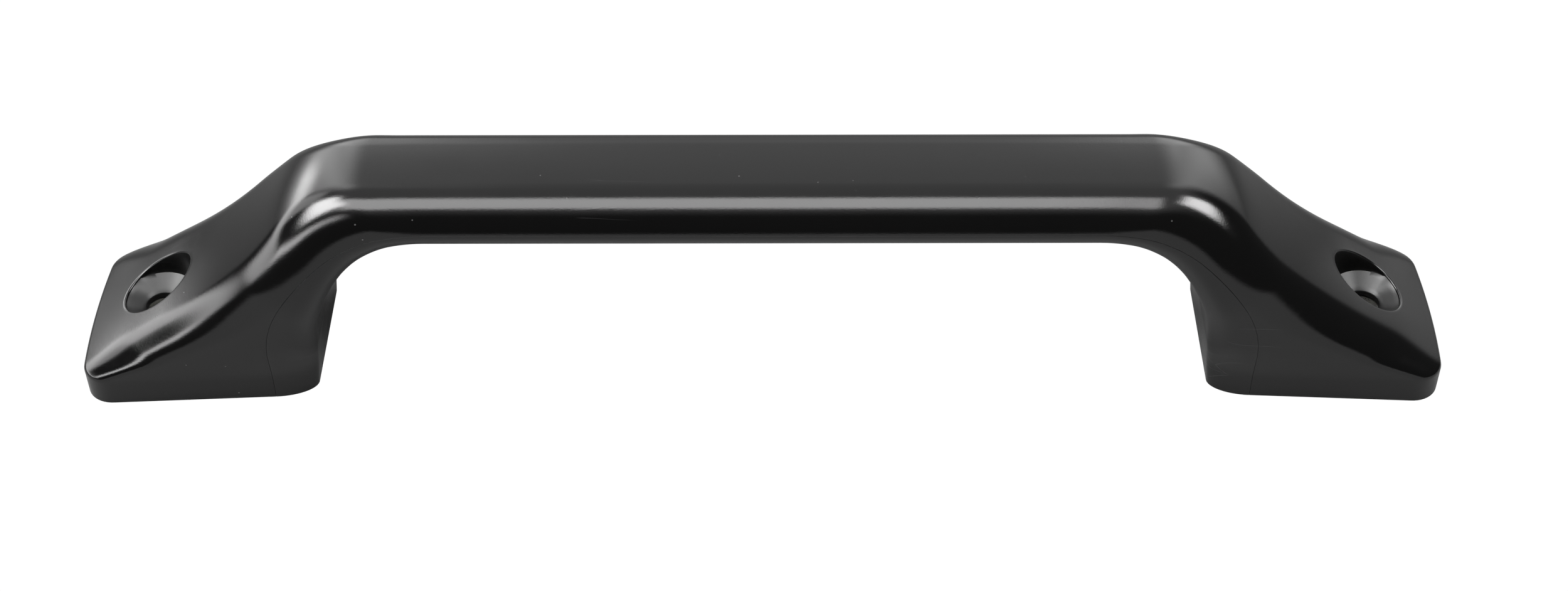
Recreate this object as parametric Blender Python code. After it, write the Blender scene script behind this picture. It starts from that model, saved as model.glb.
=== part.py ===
"""Two-shell pull handle with a steel core strap.

Frame: X runs along the handle, Y across it, +Z away from the mounting face.
The origin is the centre of the mounting face. The handle is symmetric about X = 0 and Y = 0.
Dimensions are written in millimetres and turned into metres where the meshes are made.
"""
import math

import bmesh
import bpy
from mathutils import Matrix, Vector

MM = 0.001
GAP = 0.3                    # clearance kept between neighbouring pieces

# Overall size
END_X = 111.9                # outer end face of each foot
TOP_Z = 38.1                 # top of the grip
UNDER_Z = 28.5               # underside of the grip
INNER_X = 73.4               # inner face of each foot at the mounting face
INNER_DRAFT = 0.106         # lean of the inner face, mm per mm
FOOT_HALF_WIDTH = 16.0
GRIP_HALF_WIDTH = 11.4
FOOT_TAPER = 0.05            # the feet narrow towards the finger side

# Side view of the outer surface, from the grip down to the end of the foot
SHOULDER_X = 63.0            # where the flat grip ends
SHOULDER_RADIUS = 19.8
SHOULDER_ANGLE = math.radians(47.5)
SHOULDER_RUN = 3.15          # straight run between the two bends
SLOPE_RADIUS = 94.5
SLOPE_ANGLE = math.radians(32.8)
END_RADIUS = 0.8             # round between slope and end face
BEND_RADIUS = 19.1           # finger-side bend between foot and grip
BEND_CENTRE = (INNER_X - INNER_DRAFT * (UNDER_Z - BEND_RADIUS) - BEND_RADIUS, UNDER_Z - BEND_RADIUS)

# Rounding of the cross-sections
GRIP_EDGE = 7.3
FLARE_EDGE = 1.3                  # added half way from grip to foot
FOOT_EDGE = 7.7
END_EDGE = 4.9
GRIP_CROWN = 0.1
FOOT_CROWN = 0.45
GRIP_UNDER_ROUND = (5.8, 5.0)     # across Y, along the section
FOOT_CORNER_ROUND = (3.7, 6.7)    # across Y, along X
FLARE_X = (64.2, 83.6)            # grip width turns into foot width between these

# Parting line between the shells
SEAM_X = 80.1
SEAM_Z = 32.7
WALL = 2.4

# Screw bores
HOLE_X = 100.0
BORE_RADIUS = 5.9
SEAT_TOP_Z = 9.3
SEAT_BOTTOM_Z = 7.3
THROUGH_RADIUS = 2.75
BOSS_RADIUS = 8.1
BOSS_BOTTOM_Z = 6.4

# Pieces stacked in each foot, from the mounting face up
PAD_THICKNESS = 1.8
SLEEVE_RADIUS = 5.0
SLEEVE_HEIGHT = 3.9
STRAP_THICKNESS = 1.9
STRAP_FOOT_Z = 5.15
STRAP_GRIP_Z = 33.3
STRAP_RISE_X = 78.5
STRAP_BEND = 3.0
STRAP_HALF_WIDTH = 6.0
EYE_RADIUS = 6.6
STRAP_END_X = 105.0          # the eye is cut flat here, clear of the end wall
TAB_Z = (6.4, 8.4)
TAB_X = (74.6, 91.4)
TAB_HALF_WIDTH = (9.7, 12.5)      # tongue under the pillar, root in the back shell
TAB_SLOT_X = (76.9, 82.2)
PILLAR_X = 87.5
PILLAR_RADIUS = 3.2
PILLAR_BOTTOM_Z = 8.7
PILOT_RADIUS = 1.65
SCREW_HOLE_RADIUS = 1.75     # in the tab and the strap
PILOT_TOP_Z = 17.0
SCREW_HEAD_RADIUS = 2.7
SCREW_HEAD_Z = (2.2, 3.9)
SCREW_RADIUS = 1.3
SCREW_TIP_Z = 16.0
RECESS_HALF = (1.5, 0.3)     # half length and half width of each cross blade
RECESS_DEPTH = 0.9
RIB_X = (0.0, 22.0, 44.0)
RIB_THICKNESS = 1.6
RIB_HALF_WIDTH = 9.5
CLEAR_Z = (-1.0, 45.0)       # a guide between these passes right through the handle

HALF_RINGS = 23              # cross-sections from mid-grip to the mounting face
ROUND_STEPS = 5              # straight steps in each rounded edge of a cross-section


def clear_scene():
    for obj in list(bpy.data.objects):
        bpy.data.objects.remove(obj, do_unlink=True)


def make_material(name, colour, roughness, metallic=0.0):
    material = bpy.data.materials.new(name)
    material.use_nodes = True
    shader = material.node_tree.nodes["Principled BSDF"]
    shader.inputs["Base Color"].default_value = (*colour, 1.0)
    shader.inputs["Roughness"].default_value = roughness
    shader.inputs["Metallic"].default_value = metallic
    return material


def smooth_step(value):
    value = min(max(value, 0.0), 1.0)
    return value * value * (3.0 - 2.0 * value)


def blend(a, b, share):
    return a + (b - a) * share


# ---------------------------------------------------------------- side view

def arc(centre, radius, start, end, steps):
    """Points on an arc in the XZ plane; angles are measured from +X towards +Z."""
    points = []
    for i in range(steps + 1):
        angle = blend(start, end, i / steps)
        points.append((centre[0] + radius * math.cos(angle), centre[1] + radius * math.sin(angle)))
    return points


def outer_profile(inset):
    """Mounting face -> end face -> slope -> shoulder -> middle of the grip, for +X."""
    quarter = math.pi / 2
    shoulder = SHOULDER_RADIUS - inset
    slope = SLOPE_RADIUS + inset
    centre = (SHOULDER_X, TOP_Z - SHOULDER_RADIUS)
    convex = arc(centre, shoulder, quarter, quarter - SHOULDER_ANGLE, 12)
    run_x = convex[-1][0] + SHOULDER_RUN * math.cos(SHOULDER_ANGLE)
    run_z = convex[-1][1] - SHOULDER_RUN * math.sin(SHOULDER_ANGLE)
    centre = (run_x + slope * math.sin(SHOULDER_ANGLE), run_z + slope * math.cos(SHOULDER_ANGLE))
    concave = arc(centre, slope, -quarter - SHOULDER_ANGLE, -quarter - SLOPE_ANGLE, 12)
    end_round = max(END_RADIUS - inset, 0.3)
    round_x = END_X - inset - end_round
    tangent_x = round_x + end_round * math.sin(SLOPE_ANGLE)
    tangent_z = concave[-1][1] - (tangent_x - concave[-1][0]) * math.tan(SLOPE_ANGLE)
    centre = (round_x, tangent_z - end_round * math.cos(SLOPE_ANGLE))
    corner = arc(centre, end_round, quarter - SLOPE_ANGLE, 0.0, 4)
    down = [(END_X - inset, 0.0)]
    return list(reversed([(0.0, TOP_Z - inset)] + convex + concave + corner + down))


def inner_profile(inset):
    """Mounting face -> inner face -> finger-side bend -> middle of the grip underside, for +X."""
    radius = BEND_RADIUS + inset
    bend = arc(BEND_CENTRE, radius, 0.0, math.pi / 2, 16)
    return [(INNER_X + inset, 0.0)] + bend + [(0.0, UNDER_Z + inset)]


def lengths_along(points):
    total = [0.0]
    for a, b in zip(points, points[1:]):
        total.append(total[-1] + math.dist(a, b))
    return total


def point_at(points, lengths, length):
    for i in range(1, len(points)):
        if length <= lengths[i] or i == len(points) - 1:
            share = (length - lengths[i - 1]) / max(lengths[i] - lengths[i - 1], 1e-9)
            return tuple(blend(p, q, share) for p, q in zip(points[i - 1], points[i]))


def monotone_value(knots, values, x):
    """Smooth value between knots, never overshooting (Fritsch-Carlson cubic)."""
    slopes = [(b - a) / (q - p) for p, q, a, b in zip(knots, knots[1:], values, values[1:])]
    tangents = [slopes[0]]
    for s, t in zip(slopes, slopes[1:]):
        tangents.append(0.0 if s * t <= 0 else 2 * s * t / (s + t))
    tangents.append(slopes[-1])
    i = max(j for j in range(len(knots) - 1) if knots[j] <= x or j == 0)
    width = knots[i + 1] - knots[i]
    t = (x - knots[i]) / width
    return ((1 + 2 * t) * (1 - t) ** 2 * values[i] + t * (1 - t) ** 2 * width * tangents[i]
            + t * t * (3 - 2 * t) * values[i + 1] + t * t * (t - 1) * width * tangents[i + 1])


def stations(inset):
    """Pairs of (outer point, inner point): the ends of each cross-section, foot to grip."""
    outer, inner = outer_profile(inset), inner_profile(inset)
    outer_len, inner_len = lengths_along(outer), lengths_along(inner)

    def slope_length(x):
        """Length along the outer profile where it passes x."""
        i = next(j for j in range(2, len(outer)) if outer[j][0] <= x)
        share = (outer[i - 1][0] - x) / (outer[i - 1][0] - outer[i][0])
        return blend(outer_len[i - 1], outer_len[i], share)

    face = inner_len[1]
    bend = inner_len[-2] - face
    share_knots = [0.0, 0.06, 0.16, 0.30, 0.42, 0.54, 0.66, 0.86, 0.93, 1.0]
    outer_knots = [0.0, outer_len[1] * 0.8, slope_length(END_X - inset - 1.0), slope_length(HOLE_X),
                   slope_length(90.0), slope_length(82.0), slope_length(72.0),
                   slope_length(SHOULDER_X + 0.2), outer_len[-1] - BEND_CENTRE[0] - 1.0, outer_len[-1]]
    inner_knots = [0.0, face * 0.25, face * 0.5, face * 0.8, face, face + bend * 0.25,
                   face + bend * 0.5, face + bend * 0.86, face + bend, inner_len[-1]]
    pairs = []
    for k in range(HALF_RINGS + 1):
        share = k / HALF_RINGS
        outer_at = monotone_value(share_knots, outer_knots, share)
        inner_at = monotone_value(share_knots, inner_knots, share)
        pairs.append((share, point_at(outer, outer_len, outer_at), point_at(inner, inner_len, inner_at)))
    return pairs


# ------------------------------------------------------------ cross-sections

def on_finger_side(x, z, offset=0.0):
    """True between the feet and under the parting curve, which is moved outwards by offset."""
    half_x = SEAM_X - BEND_CENTRE[0] + offset
    half_z = SEAM_Z - BEND_CENTRE[1] + offset
    if z <= BEND_CENTRE[1]:
        return x < BEND_CENTRE[0] + half_x
    if x <= BEND_CENTRE[0]:
        return z < BEND_CENTRE[1] + half_z
    return ((x - BEND_CENTRE[0]) / half_x) ** 2 + ((z - BEND_CENTRE[1]) / half_z) ** 2 < 1.0


def parting_depth(outer, inner):
    """How far from the inner point a cross-section leaves the finger side."""
    low, high = 0.0, 1.0
    for _ in range(24):
        middle = (low + high) / 2
        if on_finger_side(*[blend(a, b, middle) for a, b in zip(inner, outer)]):
            low = middle
        else:
            high = middle
    return low * math.dist(outer, inner)


def section(half_width, depth, edge, crown, under, taper, seam):
    """Half outline (y, v), from the middle of the outer side to the middle of the inner side.

    The outer edge is an arc that stops where it points straight down or meets the parting line.
    """
    edge = min(edge, half_width * 0.9)
    lean = 0.0
    for _ in range(3):
        cosine = math.cos(lean) - (depth - crown - seam) / edge
        turn = math.acos(min(max(cosine, 0.0), 0.999))
        flat = half_width - edge * (math.sin(turn) - math.sin(lean))
        lean = math.atan(2.0 * crown / flat)
    points = [(0.0, depth), (flat * 0.5, depth - crown * 0.25)]
    for i in range(ROUND_STEPS + 1):
        angle = blend(lean, turn, i / ROUND_STEPS)
        points.append((flat + edge * (math.sin(angle) - math.sin(lean)),
                       depth - crown - edge * (math.cos(lean) - math.cos(angle))))
    side_top = points[-1][1]
    round_y = min(under[0], half_width * 0.9)
    round_v = min(under[1], side_top * 0.95)
    for i in range(ROUND_STEPS + 1):
        angle = math.pi / 2 * i / ROUND_STEPS
        points.append((half_width - round_y * (1.0 - math.cos(angle)), round_v * (1.0 - math.sin(angle))))
    points += [((half_width - round_y) * 0.5, 0.0), (0.0, 0.0)]
    return [(y * (1.0 - taper * (1.0 - v / depth) * depth / half_width), v) for y, v in points]


def ring(share, outer, inner, inset):
    """Closed cross-section through an outer and an inner point, as a list of vectors in mm."""
    depth = math.dist(outer, inner)
    direction = ((outer[0] - inner[0]) / depth, (outer[1] - inner[1]) / depth)
    foot = smooth_step((outer[0] - FLARE_X[0]) / (FLARE_X[1] - FLARE_X[0]))
    end = smooth_step((outer[0] + inset - END_X + 8.0) / 8.0)
    corner = smooth_step((0.62 - share) / 0.3)
    half_width = blend(GRIP_HALF_WIDTH, FOOT_HALF_WIDTH, foot) - inset
    edge = blend(GRIP_EDGE, FOOT_EDGE, foot) + FLARE_EDGE * 4.0 * foot * (1.0 - foot)
    edge = blend(edge, END_EDGE, end) - inset
    crown = blend(GRIP_CROWN, FOOT_CROWN, foot)
    under = [blend(a, b, corner) - inset for a, b in zip(GRIP_UNDER_ROUND, FOOT_CORNER_ROUND)]
    half = section(half_width, depth, max(edge, 0.6), crown, [max(r, 0.6) for r in under],
                   FOOT_TAPER * foot, parting_depth(outer, inner))
    outline = half + [(-y, v) for y, v in reversed(half[1:-1])]
    return [Vector((inner[0] + direction[0] * v, y, inner[1] + direction[1] * v)) for y, v in outline]


def handle_body(name, inset=0.0, below=0.0):
    """Loft of the whole handle, inset from its skin, and run on below the mounting face."""
    half = [ring(share, outer, inner, inset) for share, outer, inner in stations(inset)]
    if below:
        half.insert(0, [p - Vector((0.0, 0.0, below)) for p in half[0]])
    mirrored = [[Vector((-p.x, p.y, p.z)) for p in loop] for loop in half]
    loops = half + list(reversed(mirrored[:-1]))
    bm = bmesh.new()
    rings = [[bm.verts.new(p * MM) for p in loop] for loop in loops]
    count = len(rings[0])
    for a, b in zip(rings, rings[1:]):
        for i in range(count):
            j = (i + 1) % count
            bm.faces.new((a[i], a[j], b[j], b[i]))
    bm.faces.new(rings[0])
    bm.faces.new(rings[-1])
    bmesh.ops.triangulate(bm, faces=bm.faces)
    return finish_mesh(bm, name)


# ------------------------------------------------------------ building blocks

def finish_mesh(bm, name, sharp_degrees=35.0):
    bmesh.ops.recalc_face_normals(bm, faces=bm.faces)
    mesh = bpy.data.meshes.new(name)
    bm.to_mesh(mesh)
    bm.free()
    mesh.shade_smooth()
    mesh.set_sharp_from_angle(angle=math.radians(sharp_degrees))
    obj = bpy.data.objects.new(name, mesh)
    bpy.context.scene.collection.objects.link(obj)
    return obj


def turned(name, profile, x=0.0, steps=32):
    """Solid turned about a vertical axis at x, from (radius, z) points, bottom to top."""
    bm = bmesh.new()
    loops = []
    for radius, z in profile:
        angles = [2.0 * math.pi * i / steps for i in range(steps)]
        loops.append([bm.verts.new(Vector((x + radius * math.cos(a), radius * math.sin(a), z)) * MM)
                      for a in angles])
    for a, b in zip(loops, loops[1:]):
        for i in range(steps):
            j = (i + 1) % steps
            bm.faces.new((a[i], a[j], b[j], b[i]))
    bm.faces.new(loops[0])
    bm.faces.new(loops[-1])
    return finish_mesh(bm, name)


def rod(name, radius, bottom, top, x, steps=32):
    return turned(name, [(radius, bottom), (radius, top)], x, steps)


def tube(name, outer, inner, bottom, top, x, steps=32):
    """Plain tube about a vertical axis at x."""
    bm = bmesh.new()
    corners = [(inner, bottom), (outer, bottom), (outer, top), (inner, top)]
    loops = []
    for radius, z in corners:
        angles = [2.0 * math.pi * i / steps for i in range(steps)]
        loops.append([bm.verts.new(Vector((x + radius * math.cos(a), radius * math.sin(a), z)) * MM)
                      for a in angles])
    for k in range(4):
        a, b = loops[k], loops[(k + 1) % 4]
        for i in range(steps):
            j = (i + 1) % steps
            bm.faces.new((a[i], a[j], b[j], b[i]))
    return finish_mesh(bm, name)


def prism(name, outline, axis, low, high):
    """Extrusion of a 2D outline: along Y the outline is (x, z), along Z it is (x, y)."""
    def place(u, v, w):
        return Vector((u, w, v)) if axis == "Y" else Vector((u, v, w))
    bm = bmesh.new()
    bottom = [bm.verts.new(place(u, v, low) * MM) for u, v in outline]
    top = [bm.verts.new(place(u, v, high) * MM) for u, v in outline]
    for i in range(len(outline)):
        j = (i + 1) % len(outline)
        bm.faces.new((bottom[i], bottom[j], top[j], top[i]))
    bm.faces.new(bottom)
    bm.faces.new(top)
    return finish_mesh(bm, name)


def box(name, x, y, z):
    return prism(name, [(x[0], y[0]), (x[1], y[0]), (x[1], y[1]), (x[0], y[1])], "Z", *z)


def boolean(target, cutter, operation="DIFFERENCE"):
    """Adds a Boolean modifier; the cutter is a guide and not a piece of the handle."""
    modifier = target.modifiers.new(cutter.name, "BOOLEAN")
    modifier.operation = operation
    modifier.object = cutter
    cutter.hide_render = True
    cutter.display_type = "WIRE"


# ------------------------------------------------------------------- shells

def finger_side_region(name, offset):
    """Everything on the finger side of the parting line, grown by offset."""
    centre_x, centre_z = BEND_CENTRE
    half_x = SEAM_X - centre_x + offset
    half_z = SEAM_Z - centre_z + offset
    side = [(SEAM_X + offset, CLEAR_Z[0])]
    for i in range(15):
        angle = math.pi / 2 * i / 14
        side.append((centre_x + half_x * math.cos(angle), centre_z + half_z * math.sin(angle)))
    outline = side + [(-x, z) for x, z in reversed(side)]
    return prism(name, outline, "Y", -2 * FOOT_HALF_WIDTH, 2 * FOOT_HALF_WIDTH)


def make_cavity():
    """Hollow inside both shells, with the bosses, pillars and strap ribs left standing."""
    cavity = handle_body("cavity_guide", WALL, below=1.0)
    for side in (-1, 1):
        tag = "left" if side < 0 else "right"
        boolean(cavity, rod(tag + "_boss_guide", BOSS_RADIUS, BOSS_BOTTOM_Z, CLEAR_Z[1], side * HOLE_X))
        boolean(cavity, rod(tag + "_pillar_guide", PILLAR_RADIUS, PILLAR_BOTTOM_Z, CLEAR_Z[1],
                            side * PILLAR_X, 20))
    strap_top = STRAP_GRIP_Z + STRAP_THICKNESS / 2 + GAP
    strap_bottom = STRAP_GRIP_Z - STRAP_THICKNESS / 2 - GAP
    places = sorted({side * x for side in (-1, 1) for x in RIB_X})
    for number, x in enumerate(places):
        span = (x - RIB_THICKNESS / 2, x + RIB_THICKNESS / 2)
        across = (-RIB_HALF_WIDTH, RIB_HALF_WIDTH)
        boolean(cavity, box("top_rib_guide_%d" % number, span, across, (strap_top, TOP_Z)))
        boolean(cavity, box("low_rib_guide_%d" % number, span, across, (UNDER_Z, strap_bottom)))
    cavity.hide_render = True
    cavity.display_type = "WIRE"
    return cavity


def make_front_shell(cavity, material):
    shell = handle_body("front_shell")
    boolean(shell, finger_side_region("front_split_guide", GAP / 2))
    boolean(shell, cavity)
    for side in (-1, 1):
        tag = "left" if side < 0 else "right"
        boolean(shell, turned(tag + "_bore_guide", [
            (THROUGH_RADIUS, CLEAR_Z[0]), (THROUGH_RADIUS, SEAT_BOTTOM_Z),
            (BORE_RADIUS, SEAT_TOP_Z), (BORE_RADIUS, CLEAR_Z[1])], side * HOLE_X, 40))
        boolean(shell, rod(tag + "_pilot_guide", PILOT_RADIUS, CLEAR_Z[0], PILOT_TOP_Z, side * PILLAR_X, 16))
    shell.data.materials.append(material)
    return shell


def make_tab(side):
    """Flange of the back shell under the pillar, with a slot for the strap."""
    tag = "left" if side < 0 else "right"
    narrow, wide = TAB_HALF_WIDTH
    seam = SEAM_X - GAP / 2
    outline = [(TAB_X[0], -wide), (seam, -wide), (seam, -narrow), (TAB_X[1], -narrow),
               (TAB_X[1], narrow), (seam, narrow), (seam, wide), (TAB_X[0], wide)]
    tab = prism(tag + "_tab_guide", [(side * x, y) for x, y in outline], "Z", *TAB_Z)
    slot_x = sorted(side * x for x in TAB_SLOT_X)
    slot_y = STRAP_HALF_WIDTH + 2 * GAP
    boolean(tab, box(tag + "_slot_guide", slot_x, (-slot_y, slot_y), CLEAR_Z))
    boolean(tab, rod(tag + "_tab_hole_guide", SCREW_HOLE_RADIUS, *CLEAR_Z, side * PILLAR_X, 16))
    return tab


def make_back_shell(cavity, material):
    shell = handle_body("back_shell")
    boolean(shell, finger_side_region("back_split_guide", -GAP / 2), "INTERSECT")
    boolean(shell, cavity)
    for side in (-1, 1):
        boolean(shell, make_tab(side), "UNION")
    shell.data.materials.append(material)
    return shell


# ---------------------------------------------------------------- core strap

def strap_path():
    """Middle line of the strap in side view, from the middle of the grip to the eye, for +X."""
    centre_x, centre_z = BEND_CENTRE
    path = [(0.0, STRAP_GRIP_Z)]
    for i in range(13):
        angle = math.pi / 2 * (1.0 - i / 12)
        path.append((centre_x + (STRAP_RISE_X - centre_x) * math.cos(angle),
                     centre_z + (STRAP_GRIP_Z - centre_z) * math.sin(angle)))
    bend = arc((STRAP_RISE_X + STRAP_BEND, STRAP_FOOT_Z + STRAP_BEND), STRAP_BEND, math.pi, math.pi * 1.5, 5)
    return path + bend + [(STRAP_END_X, STRAP_FOOT_Z)]


def offset_line(path, distance):
    """Parallel line of an open path, to its left."""
    result = []
    for i, (x, z) in enumerate(path):
        before = path[max(i - 1, 0)]
        after = path[min(i + 1, len(path) - 1)]
        length = math.dist(before, after)
        result.append((x - (after[1] - before[1]) / length * distance,
                       z + (after[0] - before[0]) / length * distance))
    return result


def make_core_strap(material):
    """One bent strip with a rounded, drilled eye at each end."""
    half = strap_path()
    path = [(-x, z) for x, z in reversed(half[1:])] + half
    half_thick = STRAP_THICKNESS / 2
    outline = offset_line(path, half_thick) + list(reversed(offset_line(path, -half_thick)))
    strap = prism("core_strap", outline, "Y", -STRAP_HALF_WIDTH, STRAP_HALF_WIDTH)
    plan = [(-HOLE_X, -EYE_RADIUS), (HOLE_X, -EYE_RADIUS)]
    for i in range(1, 16):
        angle = -math.pi / 2 + math.pi * i / 16
        plan.append((HOLE_X + EYE_RADIUS * math.cos(angle), EYE_RADIUS * math.sin(angle)))
    plan += [(HOLE_X, EYE_RADIUS), (-HOLE_X, EYE_RADIUS)]
    for i in range(1, 16):
        angle = math.pi / 2 + math.pi * i / 16
        plan.append((-HOLE_X + EYE_RADIUS * math.cos(angle), EYE_RADIUS * math.sin(angle)))
    boolean(strap, prism("strap_plan_guide", plan, "Z", *CLEAR_Z), "INTERSECT")
    for side in (-1, 1):
        tag = "left" if side < 0 else "right"
        above_foot = STRAP_FOOT_Z + STRAP_THICKNESS
        boolean(strap, rod(tag + "_eye_guide", THROUGH_RADIUS, CLEAR_Z[0], above_foot, side * HOLE_X))
        boolean(strap, rod(tag + "_strap_hole_guide", SCREW_HOLE_RADIUS, CLEAR_Z[0], above_foot,
                           side * PILLAR_X, 16))
    strap.data.materials.append(material)
    return strap


# ------------------------------------------------------- small parts per foot

def make_spacer_sleeve(side, material):
    name = ("left" if side < 0 else "right") + "_spacer_sleeve"
    sleeve = tube(name, SLEEVE_RADIUS, THROUGH_RADIUS, 0.0, SLEEVE_HEIGHT, side * HOLE_X)
    sleeve.data.materials.append(material)
    return sleeve


def make_shell_screw(side, material):
    """Pan-head self-tapping screw, head down, with a cross recess."""
    tag = "left" if side < 0 else "right"
    head_low, head_high = SCREW_HEAD_Z
    profile = [(SCREW_HEAD_RADIUS - 0.6, head_low), (SCREW_HEAD_RADIUS - 0.1, head_low + 0.4),
               (SCREW_HEAD_RADIUS, head_low + 1.0), (SCREW_HEAD_RADIUS, head_high),
               (SCREW_RADIUS, head_high), (SCREW_RADIUS, SCREW_TIP_Z - 2.0), (0.35, SCREW_TIP_Z)]
    screw = turned(tag + "_shell_screw", profile, side * PILLAR_X, 24)
    for number, angle in enumerate((0.0, math.pi / 2)):
        half_long, half_wide = RECESS_HALF
        blade = box("%s_recess_guide_%d" % (tag, number), (-half_long, half_long), (-half_wide, half_wide),
                    (head_low - 1.0, head_low + RECESS_DEPTH))
        place = Matrix.Translation((side * PILLAR_X * MM, 0.0, 0.0))
        blade.data.transform(place @ Matrix.Rotation(angle, 4, "Z"))
        boolean(screw, blade)
    screw.data.materials.append(material)
    return screw


def make_foot_pad(side, material):
    """Flat pad inside the walls at the mounting face, with a hole for the sleeve."""
    tag = "left" if side < 0 else "right"
    share, outer, inner = stations(WALL + GAP)[0]
    outline = [(side * p.x, p.y) for p in ring(share, outer, inner, WALL + GAP)]
    pad = prism(tag + "_foot_pad", outline, "Z", 0.0, PAD_THICKNESS)
    hole = SLEEVE_RADIUS + GAP
    boolean(pad, rod(tag + "_pad_hole_guide", hole, *CLEAR_Z, side * HOLE_X))
    pad.data.materials.append(material)
    return pad


def main():
    clear_scene()
    front_plastic = make_material("front_gloss_black", (0.012, 0.012, 0.013), 0.18)
    back_plastic = make_material("back_satin_black", (0.016, 0.016, 0.017), 0.30)
    strap_steel = make_material("zinc_plated_strap", (0.58, 0.58, 0.56), 0.38, 1.0)
    sleeve_steel = make_material("zinc_plated_sleeve", (0.66, 0.66, 0.64), 0.30, 1.0)
    screw_steel = make_material("black_zinc_screw", (0.10, 0.10, 0.11), 0.35, 1.0)
    pad_rubber = make_material("black_rubber_pad", (0.02, 0.02, 0.02), 0.85)
    cavity = make_cavity()
    make_front_shell(cavity, front_plastic)
    make_back_shell(cavity, back_plastic)
    make_core_strap(strap_steel)
    for side in (-1, 1):
        make_spacer_sleeve(side, sleeve_steel)
        make_shell_screw(side, screw_steel)
        make_foot_pad(side, pad_rubber)


main()
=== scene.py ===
"""Looks of a two-shell pull handle: finely modelled shells, materials, studio light and camera.

X runs along the handle, Y across it and Z away from the mounting face. The handle is symmetric about
X = 0 and Y = 0. Sizes are in millimetres and become metres where the meshes are made.
"""

import math

import bmesh
import bpy
import numpy as np
from mathutils import Matrix, Vector
from mathutils.bvhtree import BVHTree
from mathutils.geometry import delaunay_2d_cdt


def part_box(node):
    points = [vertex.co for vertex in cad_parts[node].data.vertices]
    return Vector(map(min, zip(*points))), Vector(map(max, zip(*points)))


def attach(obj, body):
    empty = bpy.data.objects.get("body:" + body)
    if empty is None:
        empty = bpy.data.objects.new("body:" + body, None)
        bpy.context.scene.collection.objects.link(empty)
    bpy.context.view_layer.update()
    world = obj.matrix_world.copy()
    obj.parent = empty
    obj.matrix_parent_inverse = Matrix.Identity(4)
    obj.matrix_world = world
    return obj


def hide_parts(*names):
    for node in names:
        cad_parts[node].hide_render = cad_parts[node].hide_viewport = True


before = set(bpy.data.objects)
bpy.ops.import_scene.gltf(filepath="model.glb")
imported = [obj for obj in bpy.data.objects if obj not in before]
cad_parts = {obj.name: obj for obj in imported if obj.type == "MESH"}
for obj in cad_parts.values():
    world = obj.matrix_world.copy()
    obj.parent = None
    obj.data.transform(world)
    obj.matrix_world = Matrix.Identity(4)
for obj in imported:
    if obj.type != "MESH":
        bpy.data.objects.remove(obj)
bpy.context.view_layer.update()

MM = 0.001
front_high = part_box("front_shell")[1]

# Overall size
END_X = front_high.x / MM        # outer end face of each foot
TOP_Z = front_high.z / MM        # top of the grip
UNDER_Z = 28.5                   # underside of the grip
INNER_X = 73.4                   # inner face of each foot, at the mounting face
INNER_DRAFT = 0.106              # lean of that face, as run over rise
FOOT_HALF_WIDTH = 16.0
GRIP_HALF_WIDTH = 11.4
FOOT_TAPER = 0.05                # half width lost per mm below the outer skin

# Side view
SHOULDER_X = 63.0
SHOULDER_RADIUS = 19.8
SHOULDER_ANGLE = math.radians(47.5)
SHOULDER_RUN = 3.15              # straight stretch between the two curves
SLOPE_RADIUS = 94.5
SLOPE_ANGLE = math.radians(32.8)
END_RADIUS = 0.8                 # between the slope and the end face
LEAST_END_RADIUS = 0.3
BEND_RADIUS = 19.1
BEND_CENTRE = (INNER_X - INNER_DRAFT * (UNDER_Z - BEND_RADIUS) - BEND_RADIUS, UNDER_Z - BEND_RADIUS)

# Rounding of the cross-sections
GRIP_EDGE = 7.3
FLARE_EDGE = 1.3                 # added half way through the flare
FOOT_EDGE = 7.7
END_EDGE = 4.9
END_BLEND = 8.0                  # the foot's edge tightens over this length before the end face
GRIP_CROWN = 0.1
FOOT_CROWN = 0.45
GRIP_UNDER_ROUND = (5.8, 5.0)    # across and up
FOOT_CORNER_ROUND = (3.7, 6.7)
CORNER_SHARES = (0.32, 0.62)     # shares of the way to the middle between which one becomes the other
LEAST_ROUND = 0.6
FLARE_X = (64.2, 83.6)           # the grip widens to the foot between these

# Parting line
SEAM_X = 80.1
SEAM_Z = 32.7
SEAM_HALF_GAP = 0.012
LIP_RADIUS = 0.05                # round on both shells along the parting line
WALL = 2.4

# Screw bores
HOLE_X = 100.0
BORE_RADIUS = 5.9
RIM_ROUND = 0.28
SEAT_TOP_Z = 9.3
SEAT_BOTTOM_Z = 7.3
SEAT_ROUND = 0.15
LEAST_WALL = 0.05                # of the bore above its seat
THROUGH_RADIUS = 2.75
POCKET_FLOOR_Z = 5.5             # inside the hollow below the boss, so that the hollow opens the bore
SKIN_SLOPE_AT = (0.1, 1.1)       # the skin's slope is measured between these distances from the wall
PATCH_RADIUS = 7.3               # the skin is rebuilt within this radius of a bore
PATCH_RINGS = (6.85, 6.5)
PATCH_LOWEST_Z = SEAT_BOTTOM_Z - 4.0
PATCH_UPRIGHT = 0.4              # least Z of the normal of a face that belongs to the skin
BORE_STEPS = 96

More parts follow.
